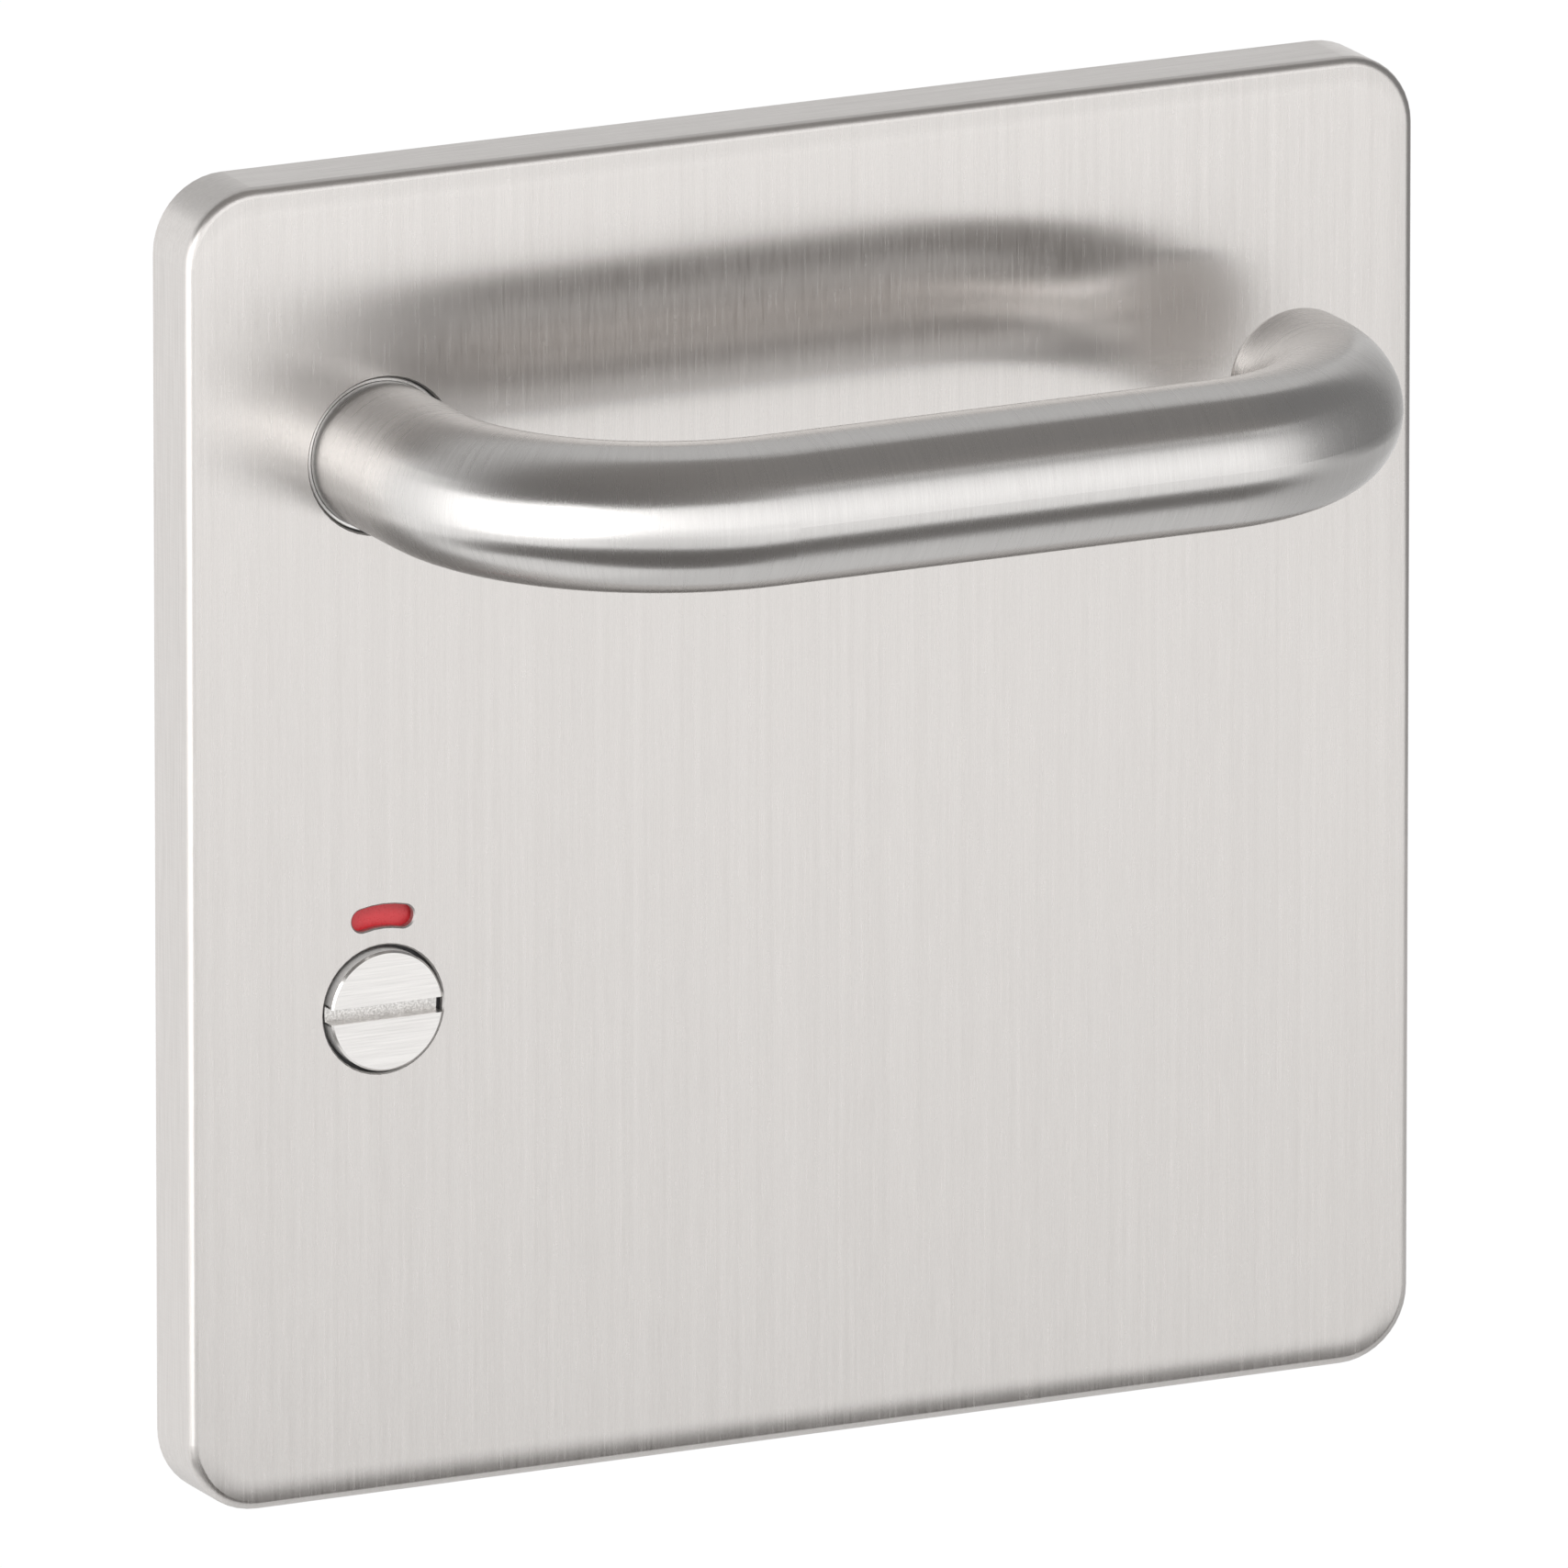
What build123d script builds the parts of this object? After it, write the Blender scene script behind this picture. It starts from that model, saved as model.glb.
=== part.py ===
# Outside half of a bathroom door handle set: a return-to-door lever and a coin release
# with an indicator window, on one square pressed cover plate. Millimetres.
#
# Every piece is drawn as if the set lay on its back on a bench: x runs to the right,
# y up the door, and z is the height above the door face. The last step stands the set
# up, so that +Z is up, the front faces -Y and the door face is the plane Y = 0.
# The origin is the middle of the plate's back. SLIP and RUNNING are the radial
# clearances of the fits, and PAST is how far a cutting solid reaches past a surface.

import math
import os

from build123d import *

# Driving dimensions

PLATE_SIDE = 172.0
PLATE_DEPTH = 10.0
PLATE_SHEET = 1.0
PLATE_CORNER_R = 9.5
PLATE_EDGE_R = 1.2
CUT_EDGE = 0.2
NECK_CUT_GAP = 0.15

SPINDLE_CENTRES = 72.0
NECK_X = -59.0
NECK_Y = 49.5
BOLT_CENTRES = 38.0
SCREW_CENTRES = 148.0

BAR_D = 19.0
BAR_WALL = 1.5
BAR_RISE = 45.5
BAR_LENGTH = 120.0
NECK_BEND_R = 31.5
END_BEND_R = 26.0
END_GAP = 15.5
END_CAP_SHEET = 2.5
END_CAP_EDGE_R = 1.8
END_PLUG_LENGTH = 3.0
END_PLUG_PLAY = 0.1
GRUB_R = 2.5
GRUB_HEIGHT = 16.5
GRUB_LENGTH = 5.0
GRUB_KEY_AF = 2.5
GRUB_KEY_DEPTH = 2.2
GRUB_CHAMFER = 0.4
GRUB_HOLE_PLAY = 0.2
LEVER_TRAVEL = 45.0

DISC_D = 15.6
DISC_PROUD = 1.2
DISC_CHAMFER = 0.25
COIN_SLOT = 2.0
COIN_SLOT_DEPTH = 2.1
WINDOW_R = 12.15
WINDOW_WIDTH = 2.9
WINDOW_HALF_ANGLE = 13.6

LEVER_SQUARE = 8.0
RELEASE_SQUARE = 6.0
SPINDLE_REACH = 46.0
SPINDLE_CHAMFER = 0.8

SLIP = 0.03
RUNNING = 0.05
PAST = 1.0

# Values that follow from them

NECK = (NECK_X, NECK_Y)
RELEASE = (NECK_X, NECK_Y - SPINDLE_CENTRES)
SHEET_BACK = PLATE_DEPTH - PLATE_SHEET
BAR_R = BAR_D / 2
BORE_R = BAR_R - BAR_WALL
BAR_AXIS = PLATE_DEPTH + BAR_RISE
BAR_END = PLATE_DEPTH + END_GAP

# Neck bearing, all heights above the door

SLEEVE_R = 10.0
SLEEVE_LOW = 4.6
SLEEVE_HIGH = PLATE_DEPTH - 0.8
SLEEVE_CHAMFER = 0.1
LEDGE_LOW = 3.4
SHANK_R = 7.0
SHANK_LOW = -1.6
SHANK_HIGH = BAR_AXIS - NECK_BEND_R - 1.0
SHANK_CHAMFER = 0.8
SHANK_FLAT = 5.5
SOCKET_HIGH = SHANK_HIGH - 4.0
LEVER_SPINDLE_HIGH = SOCKET_HIGH - 0.5
HUB_R = 11.7
THRUST = 0.5
THRUST_WASHER_R = 9.4
BOW_WASHER_R = 10.6
BOW_WASHER_SHEET = 0.4
BOW_WASHER_PLAY = 0.15
NECK_LOW = SLEEVE_LOW + THRUST + RUNNING
DRIVER_LOW = 0.45
DRIVER_SHEET = 1.5
DRIVER_HIGH = DRIVER_LOW + DRIVER_SHEET
NECK_RING_SHEET = 0.9
NECK_RING_LOW = -0.55
NECK_RING_R = 9.2
NECK_RING_GAP = 70.0
NECK_GROOVE_R = 6.2

# Return spring and the driver that winds it, angles counted anticlockwise from +x

WIRE_D = 1.4
COIL_R = 12.7
COIL_TURNS = 2.3667
COIL_HIGH = 7.5
COIL_LOW = 3.0
LEG_BEND_R = 2.0
LEG_REACH = 19.5
POCKET_R = 13.9
POCKET_HIGH = 8.3
DRIVER_REST = 112.5
DRIVER_R = 11.5
ARM_HALF_ANGLE = 9.0
ARM_ROOT_R = 10.0
ARM_R = 21.5
TAB_INNER_R = 16.0
TAB_OUTER_R = 21.0
TAB_SHEET_ANGLE = 5.0
TAB_HIGH = 5.2
TAB_ROOM_ANGLE = 6.0
COIL_END_ANGLE = 106.9
STOP_CLEARANCE = 0.3
ARM_PLAY = 0.6
ARM_HEADROOM = 0.3
LEG_PLAY = 0.5

# Coin release

STEM_R = 5.5
STEM_LOW = 0.2
STEM_FLAT = 4.7
STEM_SQUARE_HIGH = 2.0
RELEASE_SOCKET_HIGH = 7.2
RELEASE_HOLE_R = 8.35
RELEASE_GROOVE_R = 4.9
RELEASE_GROOVE_LOW = 2.1
RELEASE_RING_SHEET = 0.7
RELEASE_RING_R = 7.0
RELEASE_RING_GAP = 80.0
RELEASE_WASHER_R = 7.2
RELEASE_WASHER_LOW = 2.95
BOSS_R = 8.1
BOSS_LOW = 3.4
FLOOR_LOW = 5.2
FLOOR_HIGH = 6.7
CARRIER_R = 15.3
CARRIER_LOW = 7.0
CARRIER_HIGH = 8.5
CARRIER_PLAY = 0.7
INLAY = 0.4
INLAY_PROUD = 0.1
INLAY_PLAY = 0.05
INLAY_OUTER_R = 14.7
INLAY_INNER_R = 9.6
INLAY_HALF_ANGLE = 40.0
CLIP_WIRE_D = 1.0
CLIP_HEIGHT = 1.15
CLIP_GRIP_GAP = 0.02
CLIP_PIN_X = 12.0
CLIP_PIN_R = 4.6
CLIP_PIN_LOW = 0.3
CLIP_PIN_HEAD_R = 5.3
CLIP_PIN_HEAD_LOW = 0.1
CLIP_PIN_HEAD_HIGH = 0.55
CLIP_END = 3.5

# Chassis moulding

CHASSIS_GAP = 0.4
CHASSIS_WALL = 2.0
CHASSIS_CHAMFER = 0.6
WEB_LOW = 7.4
RIB = 1.4
RIB_PITCH = 16.6
NECK_HOUSING_R = 25.5
RELEASE_POCKET_R = 18.0
POCKET_WALL = 1.6
POST_R = 3.25
POST_REACH = 8.0
POST_CHAMFER = 0.5
POST_HEAD_AF = 8.0
POST_HEAD_LOW = 6.4
POST_HEAD_HIGH = 8.8
POST_HEAD_PLAY = 0.1
POST_HOLE_R = 1.65
POST_HOLE_HIGH = 5.0
SCREW_HOLE_R = 2.3
SCREW_SINK_R = 4.6
SCREW_SINK_DEPTH = 2.3
SCREW_BOSS_R = 5.2
NOTCH_WIDTH = 14.0
NOTCH_DEPTH = 1.3
NOTCH_CORNER_R = 1.0

# Cover clips: a strip folded over the chassis rim, measured in from the cover's skirt

CLIP_WIDTH = 10.0
CLIP_SHEET = 0.5
CLIP_OFFSETS = (-58.1, 8.3)
CLIP_OUT = 0.35
CLIP_BACK = 2.95
CLIP_BASE_LOW = 0.1
CLIP_OUTER_HIGH = 6.0
CLIP_INNER_HIGH = 4.5
BARB_HIGH = 5.4
BARB_TIP = 4.0
BARB_LOW = 3.6
SEAT_PLAY = 0.3
SEAT_IN = 0.5
SEAT_HIGH = 6.5
SEAT_REACH = 4.0
SEAT_FLOOR = 0.65


def prism(outline, low, high):
    """A flat outline raised from one height to another."""
    return extrude(Pos(0, 0, low) * outline, amount=high - low)


def disc(centre, radius, low, high):
    return prism(Pos(*centre) * Circle(radius), low, high)


def ring(centre, outer, inner, low, high):
    return prism(Pos(*centre) * (Circle(outer) - Circle(inner)), low, high)


def polar(centre, radius, degrees):
    angle = math.radians(degrees)
    return (centre[0] + radius * math.cos(angle), centre[1] + radius * math.sin(angle))


def sector(centre, outer, inner, start, stop):
    """A flat ring sector between two angles."""
    middle = (start + stop) / 2
    outside = ThreePointArc(
        polar(centre, outer, start), polar(centre, outer, middle), polar(centre, outer, stop)
    )
    inside = ThreePointArc(
        polar(centre, inner, stop), polar(centre, inner, middle), polar(centre, inner, start)
    )
    sides = [Line(outside @ 1, inside @ 0), Line(inside @ 1, outside @ 0)]
    return make_face(Wire([outside, sides[0], inside, sides[1]]))


def flatted(radius, flat):
    """A circle with two parallel flats, above and below."""
    return Circle(radius) & Rectangle(3 * radius, 2 * flat)


def top_edges(solid):
    return solid.faces().sort_by(Axis.Z)[-1].outer_wire().edges()


def window_outline():
    start, span = 90 - WINDOW_HALF_ANGLE, 2 * WINDOW_HALF_ANGLE
    return SlotArc(CenterArc((*RELEASE, 0), WINDOW_R, start, span), WINDOW_WIDTH)


# Cover plate

def cover_plate():
    """Pressed square sheet with drawn sides, a soft front edge and three cut-outs."""
    side, sheet = PLATE_SIDE, PLATE_SHEET
    blank = prism(RectangleRounded(side, side, PLATE_CORNER_R), 0, PLATE_DEPTH)
    blank = fillet(top_edges(blank), PLATE_EDGE_R)
    inner_side = side - 2 * sheet
    hollow = prism(
        RectangleRounded(inner_side, inner_side, PLATE_CORNER_R - sheet), 0, SHEET_BACK
    )
    hollow = fillet(top_edges(hollow), PLATE_EDGE_R - sheet)
    plate = blank - hollow
    plate -= disc(NECK, SLEEVE_R + NECK_CUT_GAP, 0, PLATE_DEPTH + PAST)
    plate -= disc(RELEASE, RELEASE_HOLE_R, 0, PLATE_DEPTH + PAST)
    plate -= prism(window_outline(), 0, PLATE_DEPTH + PAST)
    cuts = plate.faces().sort_by(Axis.Z)[-1].inner_wires()
    plate = chamfer([edge for cut in cuts for edge in cut.edges()], CUT_EDGE)
    notch = RectangleRounded(NOTCH_WIDTH, 6 * sheet, NOTCH_CORNER_R)
    return plate - prism(Pos(0, -side / 2) * notch, 0, NOTCH_DEPTH)


# Neck: sleeve, washers, shank, driver, retaining ring and spindle

def neck_bearing_sleeve():
    sleeve = ring(NECK, SLEEVE_R - SLIP, BAR_R + RUNNING, SLEEVE_LOW, SLEEVE_HIGH)
    return chamfer(top_edges(sleeve), SLEEVE_CHAMFER)


def neck_thrust_washer():
    return ring(NECK, THRUST_WASHER_R, SHANK_R + RUNNING, SLEEVE_LOW, SLEEVE_LOW + THRUST)


def neck_spring_washer():
    """A ring cut from a thin bowed sheet, as high when free as the gap that it fills."""
    outer, sheet = BOW_WASHER_R, BOW_WASHER_SHEET
    rise = LEDGE_LOW - DRIVER_HIGH - sheet - 2 * RUNNING
    bow_r = (outer**2 + rise**2) / (2 * rise)
    bow = Cylinder(bow_r + sheet, 3 * outer) - Cylinder(bow_r, 3 * outer)
    centre_height = LEDGE_LOW - RUNNING - sheet - bow_r
    bow = Pos(*NECK, centre_height) * Rot(90, 0, 0) * bow
    return bow & ring(NECK, outer, SHANK_R + BOW_WASHER_PLAY, DRIVER_HIGH, LEDGE_LOW)


def lever_shank():
    """Turned plug in the neck of the bar, flatted and grooved where it leaves the plate."""
    shank = disc(NECK, BORE_R - SLIP, NECK_LOW, SHANK_HIGH)
    shank = chamfer(top_edges(shank), SHANK_CHAMFER)
    shank += disc(NECK, SHANK_R, DRIVER_HIGH, NECK_LOW)
    shank += prism(Pos(*NECK) * flatted(SHANK_R, SHANK_FLAT), SHANK_LOW, DRIVER_HIGH)
    groove_low = NECK_RING_LOW - RUNNING
    groove_high = NECK_RING_LOW + NECK_RING_SHEET + RUNNING
    shank -= ring(NECK, SHANK_R + PAST, NECK_GROOVE_R, groove_low, groove_high)
    side = LEVER_SQUARE + 2 * SLIP
    shank -= prism(Pos(*NECK) * Rectangle(side, side), SHANK_LOW, SOCKET_HIGH)
    return shank - grub_axis_hole(GRUB_R)


def grub_axis_hole(radius):
    """A radial hole from the neck's axis straight down through its underside."""
    rod = extrude(Plane.XZ * Circle(radius), amount=2 * BAR_R)
    return Pos(*NECK, GRUB_HEIGHT) * rod


def lever_grub_screw():
    point = LEVER_SQUARE / 2 + SLIP
    body = extrude(Plane.XZ * Circle(GRUB_R - SLIP), amount=GRUB_LENGTH)
    body = chamfer(body.edges().filter_by(GeomType.CIRCLE), GRUB_CHAMFER)
    key = extrude(Plane.XZ * hexagon(GRUB_KEY_AF), amount=GRUB_KEY_DEPTH)
    body -= Pos(0, GRUB_KEY_DEPTH - GRUB_LENGTH, 0) * key
    return Pos(NECK_X, NECK_Y - point, GRUB_HEIGHT) * body


def square_bar(centre, side, low, high):
    bar = prism(Pos(*centre) * Rectangle(side, side), low, high)
    return chamfer(bar.faces().sort_by(Axis.Z)[0].edges(), SPINDLE_CHAMFER)


def lever_spindle():
    return square_bar(NECK, LEVER_SQUARE, -SPINDLE_REACH, LEVER_SPINDLE_HIGH)


def spring_driver():
    """Stamped plate on the shank's flats: an arm that meets the stops, and a folded tab."""
    start, stop = DRIVER_REST - ARM_HALF_ANGLE, DRIVER_REST + ARM_HALF_ANGLE
    outline = Pos(*NECK) * Circle(DRIVER_R)
    outline += sector(NECK, ARM_R, ARM_ROOT_R, start, stop)
    outline -= Pos(*NECK) * flatted(SHANK_R + SLIP, SHANK_FLAT + SLIP)
    plate = prism(outline, DRIVER_LOW, DRIVER_HIGH)
    tab = sector(NECK, TAB_OUTER_R, TAB_INNER_R, start, start + TAB_SHEET_ANGLE)
    return plate + prism(tab, DRIVER_LOW, TAB_HIGH)


def open_ring(centre, inner, outer, low, high, gap):
    """A retaining ring: a flat ring with a rounded gap at its lowest point."""
    middle = (inner + outer) / 2
    line = CenterArc((*centre, 0), middle, -90 + gap / 2, 360 - gap)
    return prism(SlotArc(line, outer - inner), low, high)


def neck_retaining_ring():
    low, high = NECK_RING_LOW, NECK_RING_LOW + NECK_RING_SHEET
    return open_ring(NECK, NECK_GROOVE_R + RUNNING, NECK_RING_R, low, high, NECK_RING_GAP)


# Return spring

def biarc(start, heading, end, arrival):
    """Two arcs that join two points, tangent to a direction at each."""
    start, end = Vector(start), Vector(end)
    heading, arrival = Vector(heading).normalized(), Vector(arrival).normalized()
    chord = end - start
    both = heading + arrival
    spread = 2 * (1 - heading.dot(arrival))
    along = chord.dot(both)
    reach = (-along + math.sqrt(along**2 + spread * chord.dot(chord))) / spread
    before, after = start + heading * reach, end - arrival * reach
    joint = (before + after) * 0.5
    first = TangentArc(start, joint, tangent=heading)
    second = TangentArc(joint, end, tangent=after - before)
    return [first, second]


def coil_point(turn):
    """Place and heading on the coil, counted in turns from the fixed leg."""
    degrees = COIL_END_ANGLE + 360 * (COIL_TURNS - turn)
    x, y = polar((0, 0), COIL_R, degrees)
    drop = (COIL_HIGH - COIL_LOW) / COIL_TURNS
    place = Vector(x, y, COIL_HIGH - drop * turn)
    heading = Vector(y, -x, -drop / (2 * math.pi))
    return place, heading.normalized()


def leg(turn, side):
    """A leg's two ends and its outward direction; side is 1 past the coil's end, -1 before."""
    place, _ = coil_point(turn)
    outward = Vector(place.X, place.Y, 0).normalized()
    sideways = Vector(outward.Y, -outward.X, 0) * side
    near = place + (outward + sideways) * LEG_BEND_R
    return near, near + outward * (LEG_REACH - COIL_R - LEG_BEND_R), outward


def return_spring():
    """Torsion spring: one wire from the fixed leg round the coil to the driven leg."""
    near, far, outward = leg(0, -1)
    place, heading = coil_point(0)
    route = [Line(far, near)] + biarc(near, outward * -1, place, heading)
    quarters = math.ceil(4 * COIL_TURNS)
    for k in range(quarters):
        here = coil_point(COIL_TURNS * k / quarters)
        there = coil_point(COIL_TURNS * (k + 1) / quarters)
        route += biarc(*here, *there)
    near, far, outward = leg(COIL_TURNS, 1)
    place, heading = coil_point(COIL_TURNS)
    route += biarc(place, heading, near, outward) + [Line(near, far)]
    wire = Wire(route)
    report_gap(wire)
    start = Plane(origin=wire @ 0, z_dir=wire % 0)
    spring = sweep(start * Circle(WIRE_D / 2), path=wire)
    return Pos(*NECK, 0) * spring


def report_gap(wire):
    """Print the least gap between turns, over points further apart than half a turn."""
    count = 360
    points = [wire @ (k / count) for k in range(count + 1)]
    spacing = wire.length / count
    apart = int(math.pi * COIL_R / spacing)
    least = min(
        (points[i] - points[j]).length
        for i in range(count + 1)
        for j in range(i + apart, count + 1)
    )
    print(f"return spring: wire {wire.length:.1f} mm long, least gap {least - WIRE_D:.2f} mm")


# Lever bar

def lever_bar():
    """Round tube bent out of the plate, along it and back towards the door."""
    section = Circle(BAR_R) - Circle(BORE_R)
    across = Plane(origin=(NECK_X + NECK_BEND_R, NECK_Y, BAR_AXIS), z_dir=(1, 0, 0))
    neck_top = BAR_AXIS - NECK_BEND_R
    end_low = BAR_AXIS - END_BEND_R
    end_x = NECK_X + BAR_LENGTH
    tube = prism(Pos(*NECK) * section, NECK_LOW, neck_top)
    tube += revolve(
        Pos(*NECK, neck_top) * section,
        Axis((NECK_X + NECK_BEND_R, NECK_Y, neck_top), (0, 1, 0)),
        90,
    )
    tube += extrude(across * section, amount=BAR_LENGTH - NECK_BEND_R - END_BEND_R)
    tube += revolve(
        Pos(end_x, NECK_Y, end_low) * section,
        Axis((end_x - END_BEND_R, NECK_Y, end_low), (0, -1, 0)),
        90,
    )
    tube += prism(Pos(end_x, NECK_Y) * section, BAR_END + END_CAP_SHEET, end_low)
    return tube - grub_axis_hole(GRUB_R + GRUB_HOLE_PLAY)


def lever_end_cap():
    centre = (NECK_X + BAR_LENGTH, NECK_Y)
    flange_high = BAR_END + END_CAP_SHEET
    cap = disc(centre, BAR_R, BAR_END, flange_high)
    cap = fillet(cap.faces().sort_by(Axis.Z)[0].edges(), END_CAP_EDGE_R)
    return cap + disc(centre, BORE_R - END_PLUG_PLAY, flange_high, flange_high + END_PLUG_LENGTH)


# Coin release and indicator

def release_disc():
    """Slotted head on a stem with flats for the indicator, the detent and a ring groove."""
    head_high = PLATE_DEPTH + DISC_PROUD
    head = disc(RELEASE, DISC_D / 2, CARRIER_HIGH, head_high)
    head = chamfer(top_edges(head), DISC_CHAMFER)
    slot = Pos(*RELEASE) * Rectangle(DISC_D + PAST, COIN_SLOT)
    head -= prism(slot, head_high - COIN_SLOT_DEPTH, head_high + PAST)
    key = Pos(*RELEASE) * flatted(STEM_R, STEM_FLAT)
    stem = prism(key, FLOOR_HIGH + RUNNING, CARRIER_HIGH)
    stem += disc(RELEASE, STEM_R, STEM_SQUARE_HIGH, FLOOR_HIGH + RUNNING)
    square = Rectangle(2 * STEM_FLAT, 2 * STEM_FLAT) & Circle(STEM_R)
    stem += prism(Pos(*RELEASE) * square, STEM_LOW, STEM_SQUARE_HIGH)
    groove_high = RELEASE_GROOVE_LOW + RELEASE_RING_SHEET + 2 * RUNNING
    stem -= ring(RELEASE, STEM_R + PAST, RELEASE_GROOVE_R, RELEASE_GROOVE_LOW, groove_high)
    side = RELEASE_SQUARE + 2 * SLIP
    stem -= prism(Pos(*RELEASE) * Rectangle(side, side), STEM_LOW, RELEASE_SOCKET_HIGH)
    return head + stem


def release_spindle():
    return square_bar(RELEASE, RELEASE_SQUARE, -SPINDLE_REACH, RELEASE_SOCKET_HIGH - 2 * RUNNING)


def release_washer():
    high = BOSS_LOW - RUNNING
    return ring(RELEASE, RELEASE_WASHER_R, STEM_R + RUNNING, RELEASE_WASHER_LOW, high)


def release_retaining_ring():
    low = RELEASE_GROOVE_LOW + RUNNING
    inner, outer = RELEASE_GROOVE_R + RUNNING, RELEASE_RING_R
    return open_ring(RELEASE, inner, outer, low, low + RELEASE_RING_SHEET, RELEASE_RING_GAP)


def inlay_outline(middle, margin):
    half = INLAY_HALF_ANGLE + margin
    outer, inner = INLAY_OUTER_R + margin, INLAY_INNER_R - margin
    return sector(RELEASE, outer, inner, middle - half, middle + half)


def indicator_carrier():
    carrier = disc(RELEASE, CARRIER_R, CARRIER_LOW, CARRIER_HIGH)
    key = Pos(*RELEASE) * flatted(STEM_R + SLIP, STEM_FLAT + SLIP)
    carrier -= prism(key, CARRIER_LOW, CARRIER_HIGH)
    for middle in (90, 180):
        seat = inlay_outline(middle, INLAY_PLAY)
        carrier -= prism(seat, CARRIER_HIGH - INLAY, CARRIER_HIGH)
    return carrier


def indicator_segment(middle):
    outline = inlay_outline(middle, 0.0)
    return prism(outline, CARRIER_HIGH - INLAY, CARRIER_HIGH + INLAY_PROUD)


def detent_clip():
    """Hairpin wire round a pin of the chassis, gripping two flats of the stem."""
    side = STEM_FLAT + CLIP_WIRE_D / 2 + CLIP_GRIP_GAP
    left, right = -CLIP_PIN_X, CLIP_PIN_X + CLIP_END
    upper = Line((right, side, 0), (left, side, 0))
    bend = ThreePointArc((left, side, 0), (left - side, 0, 0), (left, -side, 0))
    lower = Line((left, -side, 0), (right, -side, 0))
    wire = Wire([upper, bend, lower])
    start = Plane(origin=wire @ 0, z_dir=wire % 0)
    clip = sweep(start * Circle(CLIP_WIRE_D / 2), path=wire)
    return Pos(*RELEASE, CLIP_HEIGHT) * clip


# Chassis

def post_centres():
    return [(NECK_X + side * BOLT_CENTRES / 2, NECK_Y) for side in (-1, 1)]


def screw_centres():
    half = SCREW_CENTRES / 2
    return [(x, y) for x in (-half, half) for y in (-half, half)]


def hexagon(across_flats, turn=30):
    return Rot(0, 0, turn) * RegularPolygon(across_flats / 2, 6, major_radius=False)


def rib_outline(side):
    """Ribs on a square grid, and solid rounds for the two housings and the screw bosses."""
    ribs = Rectangle(side, RIB) + Rectangle(RIB, side)
    count = int(side / 2 / RIB_PITCH)
    for k in range(1, count + 1):
        for offset in (-k * RIB_PITCH, k * RIB_PITCH):
            ribs += Pos(offset, 0) * Rectangle(RIB, side)
            ribs += Pos(0, offset) * Rectangle(side, RIB)
    ribs += Pos(*NECK) * Circle(NECK_HOUSING_R)
    ribs += Pos(*RELEASE) * Circle(RELEASE_POCKET_R + POCKET_WALL)
    for centre in screw_centres():
        ribs += Pos(*centre) * Circle(SCREW_BOSS_R)
    return ribs


def spring_rooms():
    """What is hollow in the neck housing: bearing, coil, driver's arm, tab and fixed leg."""
    late = DRIVER_REST - LEVER_TRAVEL
    low_stop = late - ARM_HALF_ANGLE - STOP_CLEARANCE
    high_stop = DRIVER_REST + ARM_HALF_ANGLE + STOP_CLEARANCE
    arm_high = DRIVER_HIGH + ARM_HEADROOM
    room_r, inner_r = ARM_R + ARM_PLAY, POCKET_R - PAST
    arm_room = sector(NECK, room_r, inner_r, low_stop, high_stop)
    tab_room = sector(NECK, room_r, inner_r, low_stop - TAB_ROOM_ANGLE, high_stop)
    return [
        disc(NECK, SLEEVE_R, SLEEVE_LOW, SHEET_BACK + PAST),
        disc(NECK, SHANK_R + RUNNING, 0, SHEET_BACK),
        disc(NECK, POCKET_R, -PAST, LEDGE_LOW),
        ring(NECK, POCKET_R, HUB_R, 0, POCKET_HIGH),
        prism(arm_room, -PAST, arm_high),
        prism(tab_room, DRIVER_HIGH, POCKET_HIGH),
        anchor_slot(),
    ]


def anchor_slot():
    """Room for the spring's fixed leg, open towards the door."""
    near, far, outward = leg(0, -1)
    inner = near - outward * LEG_BEND_R
    outer = far + outward * LEG_PLAY
    line = Line((inner.X, inner.Y), (outer.X, outer.Y))
    turn = math.degrees(math.atan2(outward.Y, outward.X))
    slot = Rot(0, 0, turn) * SlotCenterToCenter(line.length, WIRE_D + LEG_PLAY)
    middle = line @ 0.5
    return Pos(NECK_X + middle.X, NECK_Y + middle.Y) * prism(slot, -PAST, POCKET_HIGH)


def release_rooms():
    return [
        disc(RELEASE, RELEASE_POCKET_R, -PAST, FLOOR_LOW),
        disc(RELEASE, CARRIER_R + CARRIER_PLAY, FLOOR_HIGH, SHEET_BACK + PAST),
    ]


def release_bosses():
    """Bearing boss for the stem, and two headed pins that hold the detent clip."""
    root = (FLOOR_LOW + FLOOR_HIGH) / 2
    bosses = [disc(RELEASE, BOSS_R, BOSS_LOW, root)]
    for side in (-1, 1):
        centre = (RELEASE[0] + side * CLIP_PIN_X, RELEASE[1])
        bosses.append(disc(centre, CLIP_PIN_R, CLIP_PIN_LOW, root))
        bosses.append(disc(centre, CLIP_PIN_HEAD_R, CLIP_PIN_HEAD_LOW, CLIP_PIN_HEAD_HIGH))
    return bosses


def clip_places():
    return [(turn, offset) for turn in (0, 90, 180, 270) for offset in CLIP_OFFSETS]


def clip_seats(side):
    """What the cover clips take out of the chassis rim."""
    rim = side / 2
    width = CLIP_WIDTH + 2 * SEAT_PLAY
    outside = Rectangle(width, 2 * SEAT_IN)
    below = Pos(0, -SEAT_REACH / 2) * Rectangle(width, SEAT_REACH)
    seat = prism(outside, 0, SEAT_HIGH) + prism(below, 0, SEAT_FLOOR)
    return [Rot(0, 0, turn) * Pos(offset, rim) * seat for turn, offset in clip_places()]


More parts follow.
